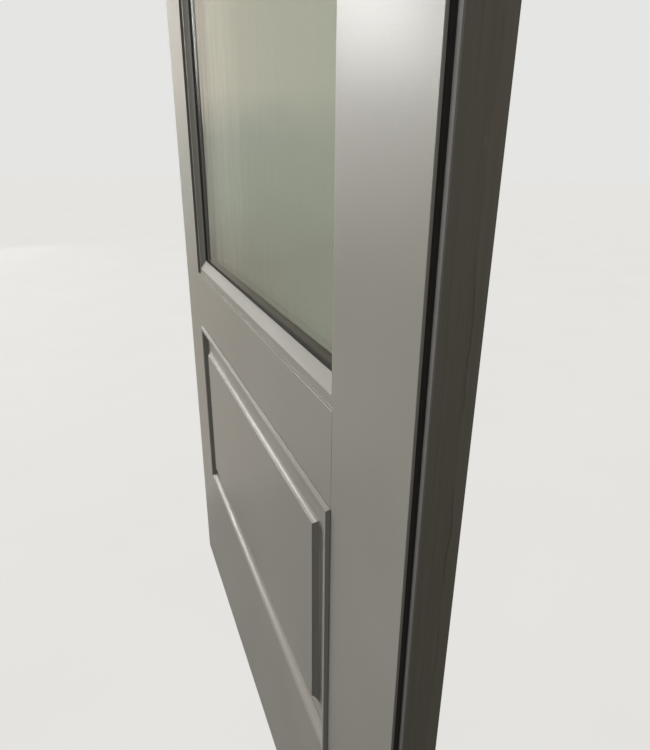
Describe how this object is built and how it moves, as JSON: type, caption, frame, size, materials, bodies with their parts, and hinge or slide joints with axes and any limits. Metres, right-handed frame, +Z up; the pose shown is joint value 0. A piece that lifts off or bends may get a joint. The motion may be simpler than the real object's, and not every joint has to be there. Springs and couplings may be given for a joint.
{
  "type": "glazed exterior door leaf",
  "caption": "Stile-and-rail exterior door leaf with a tall pane of insulated glass over one raised panel, grey metal facing outdoors on a brown wooden core.",
  "frame": {"origin": "on the flat of the leaf's left edge as seen from outdoors, at half the leaf's thickness and half its height", "axes": "+X across the leaf from the left edge to the right edge as seen from outdoors, +Y from the outdoor face to the indoor face, +Z up"},
  "size_m": [0.9144, 0.0512, 2.032],
  "materials": {
    "facing": "satin",
    "core": "satin",
    "gasket": "matte",
    "glass": "gloss",
    "spacer": "matte"
  },
  "bodies": {
    "root": {"bottom_rail_cladding": "facing", "bottom_rail_core": "core", "glass_spacer": "spacer", "inner_glass_pane": "glass", "inner_glazing_bead_bottom": "core", "inner_glazing_bead_left": "core", "inner_glazing_bead_right": "core", "inner_glazing_bead_top": "core", "inner_glazing_gasket": "gasket", "inner_panel_moulding_bottom": "core", "inner_panel_moulding_left": "core", "inner_panel_moulding_right": "core", "inner_panel_moulding_top": "core", "inner_raised_panel": "core", "left_edge_gasket": "gasket", "left_stile_cladding": "facing", "left_stile_core": "core", "middle_rail_cladding": "facing", "middle_rail_core": "core", "outer_glass_pane": "glass", "outer_glazing_bead_bottom": "facing", "outer_glazing_bead_left": "facing", "outer_glazing_bead_right": "facing", "outer_glazing_bead_top": "facing", "outer_glazing_gasket": "gasket", "outer_panel_moulding_bottom": "facing", "outer_panel_moulding_left": "facing", "outer_panel_moulding_right": "facing", "outer_panel_moulding_top": "facing", "outer_raised_panel": "facing", "right_edge_gasket": "gasket", "right_stile_cladding": "facing", "right_stile_core": "core", "top_edge_gasket": "gasket", "top_rail_cladding": "facing", "top_rail_core": "core"}
  },
  "joints": []
}
